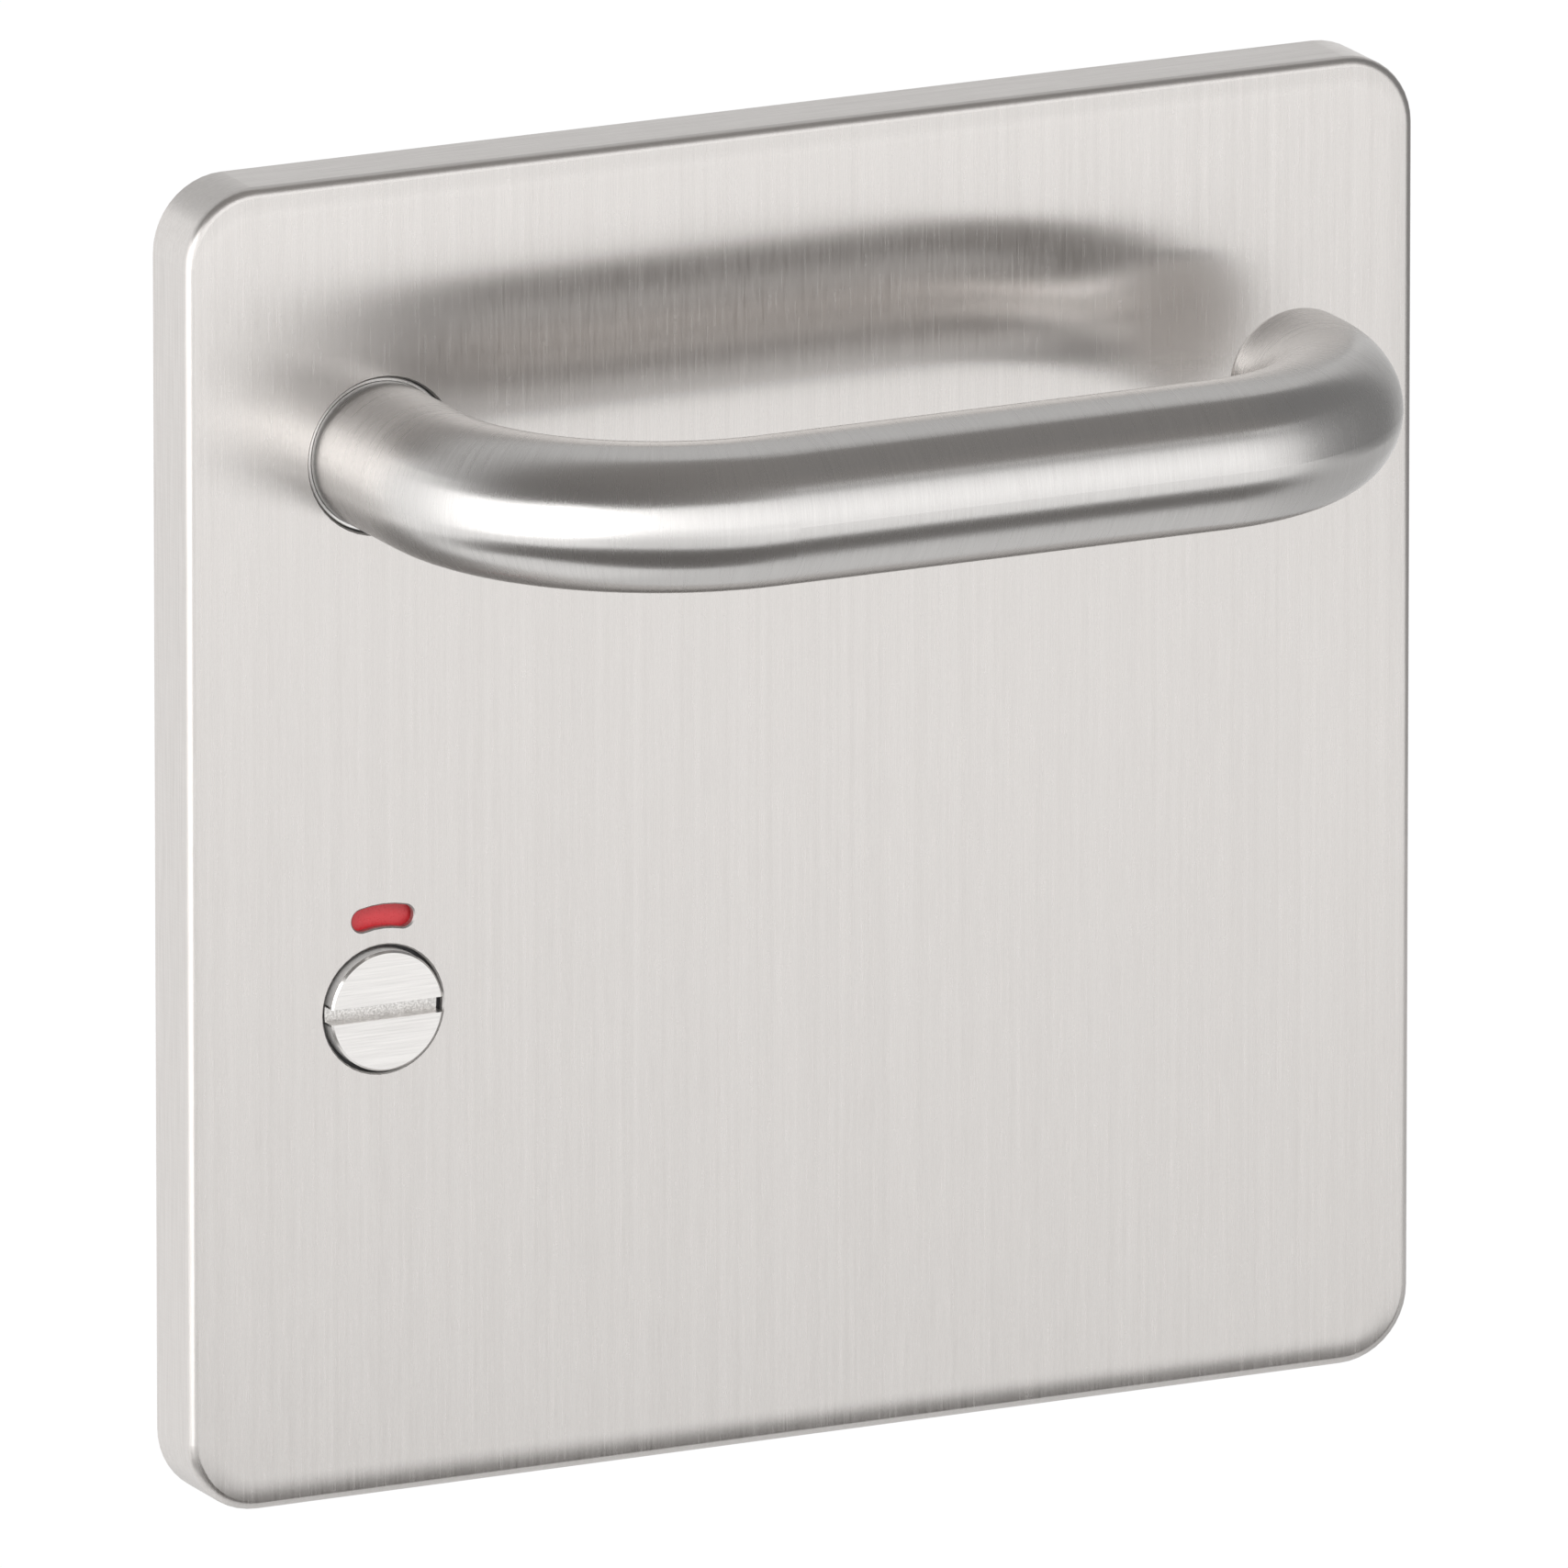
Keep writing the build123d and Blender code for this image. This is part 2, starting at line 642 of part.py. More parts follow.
def chassis():
    """Moulded back: web, rim and ribs, bosses for the fixings and the two housings."""
    side = PLATE_SIDE - 2 * (PLATE_SHEET + CHASSIS_GAP)
    corner = PLATE_CORNER_R - PLATE_SHEET - CHASSIS_GAP
    outline = RectangleRounded(side, side, corner)
    inside = side - 2 * CHASSIS_WALL
    rim = outline - RectangleRounded(inside, inside, corner - CHASSIS_WALL)
    body = chamfer(top_edges(prism(outline, WEB_LOW, SHEET_BACK)), CHASSIS_CHAMFER)
    body += prism((rim + rib_outline(inside)) & outline, 0, WEB_LOW)
    for room in spring_rooms() + release_rooms():
        body -= room
    for boss in release_bosses():
        body += boss
    body -= disc(RELEASE, STEM_R + RUNNING, 0, SHEET_BACK)
    for centre in post_centres():
        body -= disc(centre, POST_R + SLIP, -PAST, SHEET_BACK)
        head = Pos(*centre) * hexagon(POST_HEAD_AF + POST_HEAD_PLAY)
        body -= prism(head, POST_HEAD_LOW, SHEET_BACK + PAST)
    sink_align = (Align.CENTER, Align.CENTER, Align.MAX)
    for centre in screw_centres():
        body -= disc(centre, SCREW_HOLE_R, -PAST, SHEET_BACK + PAST)
        sink = Cone(SCREW_HOLE_R, SCREW_SINK_R, SCREW_SINK_DEPTH, align=sink_align)
        body -= Pos(*centre, SHEET_BACK) * sink
    for seat in clip_seats(side):
        body -= seat
    return body


# Fixings

def bolt_post(centre):
    """Hexagon-headed post, tapped from its free end."""
    post = disc(centre, POST_R, -POST_REACH, POST_HEAD_LOW)
    post = chamfer(post.faces().sort_by(Axis.Z)[0].edges(), POST_CHAMFER)
    post += prism(Pos(*centre) * hexagon(POST_HEAD_AF), POST_HEAD_LOW, POST_HEAD_HIGH)
    return post - disc(centre, POST_HOLE_R, -POST_REACH, POST_HOLE_HIGH)


def upright_strip(near, far, low, high):
    return Pos((near + far) / 2, (low + high) / 2) * Rectangle(far - near, high - low)


def cover_clip():
    """Folded strip over the chassis rim, with a barb that bears on the cover's skirt."""
    skirt = PLATE_SIDE / 2 - PLATE_SHEET
    out, back = skirt - CLIP_OUT, skirt - CLIP_BACK
    strip = upright_strip(back, out, CLIP_BASE_LOW, CLIP_BASE_LOW + CLIP_SHEET)
    strip += upright_strip(out - CLIP_SHEET, out, CLIP_BASE_LOW, CLIP_OUTER_HIGH)
    strip += upright_strip(back, back + CLIP_SHEET, CLIP_BASE_LOW, CLIP_INNER_HIGH)
    barb = Polyline((out, BARB_HIGH), (skirt - SLIP, BARB_TIP), (out, BARB_LOW), close=True)
    strip += make_face(barb)
    upright = Plane(origin=(0, 0, 0), x_dir=(0, 1, 0), z_dir=(1, 0, 0))
    return extrude(upright * strip, amount=CLIP_WIDTH / 2, both=True)


def cover_clips():
    clip = cover_clip()
    return [Rot(0, 0, turn) * Pos(offset, 0, 0) * clip for turn, offset in clip_places()]


NODES = {
    "cover_plate": cover_plate(),
    "neck_bearing_sleeve": neck_bearing_sleeve(),
    "neck_thrust_washer": neck_thrust_washer(),
    "neck_spring_washer": neck_spring_washer(),
    "lever_shank": lever_shank(),
    "lever_grub_screw": lever_grub_screw(),
    "lever_spindle": lever_spindle(),
    "spring_driver": spring_driver(),
    "neck_retaining_ring": neck_retaining_ring(),
    "return_spring": return_spring(),
    "lever_bar": lever_bar(),
    "lever_end_cap": lever_end_cap(),
    "release_disc": release_disc(),
    "release_spindle": release_spindle(),
    "release_washer": release_washer(),
    "release_retaining_ring": release_retaining_ring(),
    "indicator_carrier": indicator_carrier(),
    "indicator_red": indicator_segment(90),
    "indicator_white": indicator_segment(180),
    "detent_clip": detent_clip(),
    "chassis": chassis(),
    "bolt_posts": Compound([bolt_post(centre) for centre in post_centres()]),
    "cover_clips": Compound(cover_clips()),
}

os.makedirs("parts", exist_ok=True)
upright = Plane.XZ.location
for name, shape in NODES.items():
    export_step(upright * shape, f"parts/{name}.step")
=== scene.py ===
# Looks of a bathroom door handle: a return-to-door lever and a coin release with a
# colour window on a square pressed cover plate, with its outside in satin stainless steel.
# Metres, +Z up, the plate's front faces -Y and the door face is the plane Y = 0.

import math

import bmesh
import bpy
from mathutils import Matrix, Vector


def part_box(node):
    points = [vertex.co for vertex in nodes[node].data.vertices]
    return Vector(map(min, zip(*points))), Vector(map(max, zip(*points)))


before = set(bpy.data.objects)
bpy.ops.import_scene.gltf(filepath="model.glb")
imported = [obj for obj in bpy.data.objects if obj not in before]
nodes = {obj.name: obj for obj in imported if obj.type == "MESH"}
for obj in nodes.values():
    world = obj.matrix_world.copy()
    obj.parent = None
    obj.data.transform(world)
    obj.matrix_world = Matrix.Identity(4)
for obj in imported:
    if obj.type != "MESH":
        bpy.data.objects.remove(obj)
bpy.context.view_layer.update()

scene = bpy.context.scene

MM = 0.001

# Places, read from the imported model

plate_low, plate_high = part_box("cover_plate")
bar_low, bar_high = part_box("lever_bar")
sleeve_low, sleeve_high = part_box("neck_bearing_sleeve")
disc_low, disc_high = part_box("release_disc")

NECK = (sleeve_low + sleeve_high) / 2
RELEASE = (disc_low + disc_high) / 2

# Cover plate: its corners, its rounded edge, how the face rolls off before that edge, and how
# far in from the rim the cut-outs start

PLATE_CORNER_R = 9.5 * MM
PLATE_EDGE_R = 1.2 * MM
ROLL_WIDTH = 3 * MM
ROLL_DROP = 0.09 * MM
RIM_MARGIN = 4 * MM

# Lever bar: a round tube, whose two bends lie in the level plane through the neck's axis

BAR_R = 9.5 * MM
NECK_BEND_R = 31.5 * MM
END_BEND_R = 26 * MM
BAR_AXIS_Y = bar_low.y + BAR_R
BAR_MIDDLE_X = (bar_low.x + bar_high.x) / 2
NECK_BEND = Vector((NECK.x + NECK_BEND_R, BAR_AXIS_Y + NECK_BEND_R))
END_BEND = Vector((bar_high.x - BAR_R - END_BEND_R, BAR_AXIS_Y + END_BEND_R))

# Release disc: how far behind its face the slot's walls start, and the slot's half width

SLOT_LIP = 0.35 * MM
SLOT_HALF = 1.3 * MM

# Camera: the photograph's viewing angle, through a long lens

CAMERA_PLACE = (-2.37224, -4.85689, 1.45781)
CAMERA_YAW = math.radians(26.0515)
CAMERA_PITCH = math.radians(15.1191)
CAMERA_ROLL = math.radians(0.0091)
CAMERA_LENS = 1015.64
CAMERA_SENSOR = 36.0
CAMERA_REACH = 60.0


# Node helpers

class Recipe:
    """A material's node tree, with short calls that add a node and join its inputs."""

    def __init__(self, name):
        self.material = bpy.data.materials.new(name)
        self.material.use_nodes = True
        self.tree = self.material.node_tree
        self.tree.nodes.clear()
        self.output = self.add("ShaderNodeOutputMaterial")

    def add(self, kind, settings=None, **inputs):
        node = self.tree.nodes.new(kind)
        for name, value in (settings or {}).items():
            setattr(node, name, value)
        for name, value in inputs.items():
            self.feed(node, name.replace("_", " "), value)
        return node

    def feed(self, node, key, value):
        """Joins a value to an input, given by its name or number, or sets it there."""
        socket = node.inputs[key]
        if isinstance(value, bpy.types.NodeSocket):
            self.tree.links.new(value, socket)
        else:
            socket.default_value = value

    def maths(self, operation, *values):
        node = self.add("ShaderNodeMath", {"operation": operation})
        for index, value in enumerate(values):
            self.feed(node, index, value)
        return node.outputs[0]

    def plus(self, a, b):
        return self.maths("ADD", a, b)

    def minus(self, a, b):
        return self.maths("SUBTRACT", a, b)

    def times(self, a, b):
        return self.maths("MULTIPLY", a, b)

    def size(self, a):
        return self.maths("ABSOLUTE", a)

    def weighted(self, first, *others):
        """The sum of values, each times its share."""
        total = self.times(*first)
        for value, share in others:
            total = self.plus(total, self.times(value, share))
        return total

    def vector(self, operation, a, b):
        node = self.add("ShaderNodeVectorMath", {"operation": operation})
        self.feed(node, 0, a)
        self.feed(node, 1, b)
        return node.outputs[0]

    def length(self, vector):
        node = self.add("ShaderNodeVectorMath", {"operation": "LENGTH"}, Vector=vector)
        return node.outputs["Value"]

    def split(self, vector):
        return self.add("ShaderNodeSeparateXYZ", Vector=vector).outputs[0:3]

    def join(self, x, y, z):
        return self.add("ShaderNodeCombineXYZ", X=x, Y=y, Z=z).outputs[0]

    def place(self):
        """A point's place in metres, which stays on the piece as it moves."""
        return self.add("ShaderNodeTexCoord").outputs["Object"]

    def turned_with_piece(self, vector):
        """A direction on the piece, as it points once the piece has moved."""
        return self.add("ShaderNodeVectorTransform",
                        {"vector_type": "VECTOR", "convert_from": "OBJECT",
                         "convert_to": "WORLD"}, Vector=vector).outputs[0]

    def remap(self, value, low, high, new_low=0.0, new_high=1.0):
        node = self.add("ShaderNodeMapRange", Value=value)
        for name, number in (("From Min", low), ("From Max", high),
                             ("To Min", new_low), ("To Max", new_high)):
            node.inputs[name].default_value = number
        return node.outputs["Result"]

    def noise(self, vector, scale, detail=2.0, roughness=0.5):
        return self.add("ShaderNodeTexNoise", Vector=vector, Scale=scale, Detail=detail,
                        Roughness=roughness).outputs[0]

    def tinted(self, factor, dark, light):
        """A colour between two, by a factor from 0 to 1."""
        node = self.add("ShaderNodeMix", {"data_type": "RGBA"})
        self.feed(node, 0, factor)
        node.inputs[6].default_value = (*dark, 1.0)
        node.inputs[7].default_value = (*light, 1.0)
        return node.outputs[2]

    def bump(self, height, distance, under=None):
        node = self.add("ShaderNodeBump", Height=height, Distance=distance, Strength=1.0)
        if under is not None:
            self.feed(node, "Normal", under)
        return node.outputs[0]

    def blend(self, share, first, second):
        """Two shaders, mixed by the second one's share."""
        node = self.add("ShaderNodeMixShader")
        for index, value in enumerate((share, first, second)):
            self.feed(node, index, value)
        return node.outputs[0]

    def surface(self, shader):
        self.tree.links.new(shader, self.output.inputs["Surface"])
        return self.material


def place_on(piece, material):
    piece.data.materials.clear()
    piece.data.materials.append(material)


# Steel colours, in the lines' darkest and lightest places

PLATE_COLOURS = (0.703, 0.675, 0.653), (0.803, 0.775, 0.753)
# The cut edges' colours: rough sheared steel, made darker than the face as painted shade in the
# cut-outs' walls
CUT_EDGE_AND_SHADE_COLOURS = (0.42, 0.41, 0.4), (0.62, 0.605, 0.59)
BAR_COLOURS = (0.71, 0.693, 0.679), (0.775, 0.758, 0.743)
# The sleeve's colours are painted light: lightened to offset the shade in the recess round the
# neck
SLEEVE_LIGHTENED_COLOURS = (0.82, 0.805, 0.79), (0.97, 0.955, 0.94)
DISC_COLOURS = (0.83, 0.81, 0.79), (0.95, 0.93, 0.91)
SLOT_COLOURS = (0.66, 0.64, 0.62), (0.97, 0.95, 0.93)

# Brushing: noise cells per metre across and along the lines, where in the noise it starts, and
# the noise's detail and roughness

PLATE_FINE = {"across": 4600, "along": 150, "start": 3.1, "detail": 3.0, "roughness": 0.6}
PLATE_BROAD = {"across": 2300, "along": 55, "start": 11.7, "detail": 3.0, "roughness": 0.55}
PLATE_CROSS = {"across": 300, "along": 5200, "start": 5.9, "detail": 2.0, "roughness": 0.5}
PLATE_COLUMNS = {"across": 1300, "along": 8, "start": 31.7, "detail": 2.0, "roughness": 0.5}
BAR_FINE = {"across": 6500, "along": 240, "start": 1.7, "detail": 3.0, "roughness": 0.6}
BAR_BROAD = {"across": 1700, "along": 110, "start": 5.3, "detail": 3.0, "roughness": 0.6}
DISC_FINE = {"across": 4200, "along": 110, "detail": 3.0, "roughness": 0.6}
DISC_BROAD = {"across": 1600, "along": 60, "detail": 2.0, "roughness": 0.5}

# Grain, rings and clouds: noise cells per metre

CUT_GRAIN = (2600, 900, 2600)
PLATE_CLOUDS = 14.0
SLEEVE_RINGS = 9000
SLEEVE_GRAIN = 2600.0
SLOT_GRAIN = 4200.0
PLASTIC_CLOUDS = 40.0

# Noise values that make the darkest and the lightest lines

PLATE_LINES = (0.36, 0.64)
BAR_LINES = (0.3, 0.7)
SLEEVE_LINES = (0.35, 0.65)
DISC_LINES = (0.3, 0.7)
SLOT_LINES = (0.4, 0.58)

# Shares of the parts of the plate's lines

FINE_SHARE = 0.6
BROAD_SHARE = 0.25
CROSS_SHARE = 0.15
BRUSHING_SHARE = 0.85
CLOUD_SHARE = 0.15
COLUMN_SHARE = 0.6

# How squarely the plate's surfaces face out or up, as cosines: the flat face, the cut edges
# below theirs, and the top and bottom walls above theirs

FACE_COSINES = (0.95, 0.999)
CUT_COSINE = 0.9
WALL_COSINE = 0.7

# How high the grain stands, for its bumps

PLATE_RELIEF = 0.004 * MM
BAR_RELIEF = 0.006 * MM
SLEEVE_RELIEF = 0.006 * MM
DISC_RELIEF = 0.005 * MM
METAL_RELIEF = 0.006 * MM
CUT_RELIEF = 0.01 * MM
PLASTIC_RELIEF = 0.02 * MM
SLOT_RELIEF = 0.03 * MM

# The plate's haze: a share of its reflection is wide and dull, and most so on light lines

HAZE_MOST = 0.3
HAZE_RANGE = 0.4
HAZE_ROUGHNESS = 0.6
FACE_ROUGHNESS = 0.2
EDGE_ROUGHNESS = 0.33


def steel_shader(recipe, lines, colours, normal, roughness, spread, smear=0.0, along=None,
                 metal=1.0):
    """Steel whose colour and gloss vary with the lines, and whose reflections smear along one
    way. Light lines are glossier by the spread, and dark ones duller."""
    shader = recipe.add(
        "ShaderNodeBsdfPrincipled",
        Base_Color=recipe.tinted(lines, *colours),
        Metallic=metal,
        Roughness=recipe.plus(recipe.remap(lines, 0.0, 1.0, spread, -spread), roughness),
        Anisotropic=smear,
        Normal=normal,
    )
    if along is not None:
        recipe.feed(shader, "Tangent", along)
    return shader.outputs[0]


def rolled_off(recipe, beside, above):
    """How far the plate's face has dropped, in metres, where it rolls off before its edge."""
    past_x = recipe.minus(beside, plate_high.x - PLATE_CORNER_R)
    past_z = recipe.minus(above, plate_high.z - PLATE_CORNER_R)
    corner = recipe.length(recipe.join(recipe.maths("MAXIMUM", past_x, 0.0),
                                       recipe.maths("MAXIMUM", past_z, 0.0), 0.0))
    straight = recipe.maths("MINIMUM", recipe.maths("MAXIMUM", past_x, past_z), 0.0)
    outward = recipe.plus(corner, straight)
    into_roll = recipe.plus(outward, ROLL_WIDTH + PLATE_EDGE_R - PLATE_CORNER_R)
    into_roll = recipe.maths("DIVIDE", recipe.maths("MAXIMUM", into_roll, 0.0), ROLL_WIDTH)
    return recipe.times(recipe.times(into_roll, into_roll), -ROLL_DROP)


def plate_steel():
    """Upright brushing on the face and the side walls, level brushing on the top and bottom
    walls, and bare cut edges round the three cut-outs, made darker as painted shade in the
    cut-outs' walls."""
    recipe = Recipe("satin_plate_steel")
    place = recipe.place()
    x, _, z = recipe.split(place)
    beside = recipe.size(x)
    above = recipe.size(z)
    _, out_part, up_part = recipe.split(
        recipe.add("ShaderNodeNewGeometry").outputs["True Normal"])
    facing_out = recipe.size(out_part)
    top_or_bottom = recipe.maths("GREATER_THAN", recipe.size(up_part), WALL_COSINE)

    def brushed(across, along, start, detail, roughness):
        grid = recipe.add("ShaderNodeMix", {"data_type": "VECTOR"})
        recipe.feed(grid, 0, top_or_bottom)
        recipe.feed(grid, 4, recipe.vector("MULTIPLY", place, (across, across, along)))
        recipe.feed(grid, 5, recipe.vector("MULTIPLY", place, (along, across, across)))
        return recipe.noise(recipe.vector("ADD", grid.outputs[1], (start, start, start)),
                            1.0, detail, roughness)

    fine = brushed(**PLATE_FINE)
    brushing = recipe.weighted((fine, FINE_SHARE), (brushed(**PLATE_BROAD), BROAD_SHARE),
                               (brushed(**PLATE_CROSS), CROSS_SHARE))
    brushing = recipe.remap(brushing, *PLATE_LINES)
    clouds = recipe.noise(place, PLATE_CLOUDS, 2.0)
    lines = recipe.weighted((brushing, BRUSHING_SHARE), (clouds, CLOUD_SHARE))
    columns = recipe.minus(brushed(**PLATE_COLUMNS), 0.5)
    tint = recipe.plus(lines, recipe.times(columns, COLUMN_SHARE))

    normal = recipe.bump(fine, PLATE_RELIEF,
                         under=recipe.bump(rolled_off(recipe, beside, above), 1.0))
    flat = recipe.remap(facing_out, *FACE_COSINES)
    satin = steel_shader(recipe, tint, PLATE_COLOURS, normal, spread=0.02, smear=flat,
                         roughness=recipe.remap(flat, 0.0, 1.0, EDGE_ROUGHNESS, FACE_ROUGHNESS),
                         along=recipe.join(1.0, 0.0, 0.0))
    haze = steel_shader(recipe, tint, PLATE_COLOURS, normal, HAZE_ROUGHNESS, spread=0.02)
    uneven = recipe.times(flat, recipe.minus(lines, 0.5))
    haze_share = recipe.remap(uneven, -HAZE_RANGE, HAZE_RANGE, 0.0, HAZE_MOST)

    # The cut edges get a darker steel: rough sheared steel, and in part painted shade in the
    # cut-outs' walls
    inside = recipe.times(recipe.maths("LESS_THAN", beside, plate_high.x - RIM_MARGIN),
                          recipe.maths("LESS_THAN", above, plate_high.z - RIM_MARGIN))
    shaded_cut_mask = recipe.times(inside, recipe.maths("LESS_THAN", facing_out, CUT_COSINE))
    shear = recipe.noise(recipe.vector("MULTIPLY", place, CUT_GRAIN), 1.0, 3.0)
    shaded_cut_edge = steel_shader(recipe, shear, CUT_EDGE_AND_SHADE_COLOURS, recipe.bump(shear, CUT_RELIEF),
                            roughness=0.5, spread=0.06)
    return recipe.surface(recipe.blend(shaded_cut_mask, recipe.blend(haze_share, satin, haze), shaded_cut_edge))


def bar_steel():
    """Scratches that run round the bar, wherever it bends, so reflections smear along it."""
    recipe = Recipe("satin_bar_steel")
    x, y, z = recipe.split(recipe.place())
    inner_x = recipe.add("ShaderNodeClamp", Value=x, Min=NECK_BEND.x, Max=END_BEND.x).outputs[0]
    floor_y = recipe.remap(x, NECK_BEND.x, END_BEND.x, NECK_BEND.y, END_BEND.y)
    inner_y = recipe.maths("MAXIMUM", y, floor_y)
    away_x = recipe.minus(x, inner_x)
    ahead = recipe.times(recipe.minus(y, inner_y), -1.0)
    turn = recipe.maths("ARCTAN2", away_x, ahead)
    depth = recipe.times(recipe.minus(inner_y, floor_y), recipe.maths("SIGN", away_x))
    travel = recipe.plus(recipe.times(turn, NECK_BEND_R), recipe.plus(inner_x, depth))

    def scratched(across, along, start, detail, roughness):
        grid = recipe.join(recipe.times(travel, across), recipe.times(z, along), start)
        return recipe.noise(grid, 1.0, detail, roughness)

    fine = scratched(**BAR_FINE)
    lines = recipe.weighted((fine, 0.6), (scratched(**BAR_BROAD), 0.4))
    lines = recipe.remap(lines, *BAR_LINES)
    return recipe.surface(steel_shader(
        recipe, lines, BAR_COLOURS, recipe.bump(fine, BAR_RELIEF), roughness=0.26, spread=0.03,
        smear=0.85, along=recipe.turned_with_piece(recipe.join(ahead, away_x, 0.0))))


def sleeve_steel():
    """Turned rings about the neck's axis, on a steel colour lightened as painted light against
    the shade of its recess.
    """
    recipe = Recipe("turned_sleeve_steel")
    place = recipe.place()
    from_neck = recipe.vector("SUBTRACT", place, (NECK.x, 0.0, NECK.z))
    radius = recipe.length(recipe.vector("MULTIPLY", from_neck, (1.0, 0.0, 1.0)))
    rings = recipe.noise(recipe.join(recipe.times(radius, SLEEVE_RINGS), 0.0, 0.0), 1.0, 2.0)
    grain = recipe.noise(place, SLEEVE_GRAIN, 3.0)
    lines = recipe.remap(recipe.weighted((rings, 0.7), (grain, 0.3)), *SLEEVE_LINES)
    return recipe.surface(steel_shader(recipe, lines, SLEEVE_LIGHTENED_COLOURS,
                                       recipe.bump(rings, SLEEVE_RELIEF),
                                       roughness=0.3, spread=0.06))


def disc_steel():
    """Fine brushing across the disc, level when the bolt is thrown, and a grainy milled slot."""
    recipe = Recipe("brushed_disc_steel")
    place = recipe.place()
    _, y, z = recipe.split(place)

    def brushed(across, along, detail, roughness):
        return recipe.noise(recipe.vector("MULTIPLY", place, (along, across, across)),
                            1.0, detail, roughness)

    fine = brushed(**DISC_FINE)
    lines = recipe.weighted((fine, 0.65), (brushed(**DISC_BROAD), 0.35))
    lines = recipe.remap(lines, *DISC_LINES)
    behind_face = recipe.maths("GREATER_THAN", y, disc_low.y + SLOT_LIP)
    face = steel_shader(recipe, lines, DISC_COLOURS, recipe.bump(fine, DISC_RELIEF), spread=0.02,
                        roughness=recipe.remap(behind_face, 0.0, 1.0, 0.17, 0.5),
                        metal=recipe.remap(behind_face, 0.0, 1.0, 1.0, 0.45),
                        smear=0.9, along=recipe.turned_with_piece((0.0, 0.0, 1.0)))
    grain = recipe.noise(place, SLOT_GRAIN, 4.0, 0.75)
    slot = steel_shader(recipe, recipe.remap(grain, *SLOT_LINES), SLOT_COLOURS,
                        recipe.bump(grain, SLOT_RELIEF), roughness=0.34, spread=0.08)
    from_middle = recipe.size(recipe.minus(z, RELEASE.z))
    in_slot = recipe.times(behind_face, recipe.maths("LESS_THAN", from_middle, SLOT_HALF))
    return recipe.surface(recipe.blend(in_slot, face, slot))


def plain_metal(name, dark, light, roughness, grain):
    """Turned, plated or drawn metal with a fine even grain."""
    recipe = Recipe(name)
    fine = recipe.noise(recipe.place(), grain, 4.0, 0.6)
    return recipe.surface(steel_shader(recipe, fine, (dark, light),
                                       recipe.bump(fine, METAL_RELIEF), roughness, spread=0.06))


def moulded(name, dark, light, roughness, grain):
    """Moulded plastic: faint colour clouds and the fine grain of an eroded mould."""
    recipe = Recipe(name)
    place = recipe.place()
    fine = recipe.noise(place, grain, 3.0)
    shader = recipe.add(
        "ShaderNodeBsdfPrincipled",
        Base_Color=recipe.tinted(recipe.noise(place, PLASTIC_CLOUDS, 3.0), dark, light),
        Roughness=recipe.remap(fine, 0.3, 0.7, roughness - 0.06, roughness + 0.06),
        Normal=recipe.bump(fine, PLASTIC_RELIEF),
    )
    return recipe.surface(shader.outputs[0])


# Plain finishes: the record's slot, the material's name, its dark and light colour, its
# roughness, and its grains per metre

METALS = (
    ("turned_steel", "turned_steel_parts", (0.52, 0.51, 0.5), (0.62, 0.61, 0.6), 0.32, 2200),
    ("zinc_steel", "zinc_plated_steel", (0.6, 0.61, 0.62), (0.72, 0.73, 0.74), 0.36, 900),
    ("spring_steel", "drawn_spring_wire", (0.4, 0.4, 0.41), (0.52, 0.52, 0.53), 0.34, 2200),
    ("black_screw", "black_oxide_screw", (0.04, 0.04, 0.045), (0.08, 0.08, 0.085), 0.42, 2200),
)
PLASTICS = (
    ("chassis_nylon", "chassis_nylon_moulded",
     (0.055, 0.057, 0.06), (0.075, 0.077, 0.08), 0.55, 3000),
    ("carrier_nylon", "carrier_nylon_moulded",
     (0.06, 0.06, 0.063), (0.08, 0.08, 0.084), 0.5, 3000),
    ("indicator_red_plastic", "indicator_red_glossy",
     (0.68, 0.04, 0.05), (0.78, 0.055, 0.068), 0.3, 3000),
    ("indicator_white_plastic", "indicator_white_glossy",
     (0.78, 0.78, 0.76), (0.85, 0.85, 0.83), 0.32, 3000),
)

finishes = {
    "plate_steel": plate_steel(),
    "bar_steel": bar_steel(),
    "sleeve_steel": sleeve_steel(),
    "disc_steel": disc_steel(),
}
for slot, *look in METALS:
    finishes[slot] = plain_metal(*look)
for slot, *look in PLASTICS:
    finishes[slot] = moulded(*look)

for node in nodes.values():
    for index, used in enumerate(node.data.materials):
        slot_name = used.name.split(".")[0]
        if slot_name in finishes:
            node.data.materials[index] = finishes[slot_name]


# Studio: pale floor, white surroundings and soft even light

FLOOR_Z = plate_low.z - 0.22
FLOOR_SIZE = 30.0
FLOOR_COLOUR = (0.9, 0.9, 0.9)
FLOOR_GLOW = 1.05
FLOOR_GLOW_SHARE = 0.7
AMBIENT = 0.6
WHITE = (1.0, 1.0, 1.0)
FLAG_TINT = (1.0, 0.955, 0.92)

# Lamps: the side that each shines from, its spread in degrees and its strength

LAMPS = (
    ("key", (-0.5, -1.0, 1.3), 30, 1.5),
    ("fill", (1.2, -1.0, 0.9), 60, 0.5),
)

# Where the standing cards meet, seen from above, and the heights of the level ones

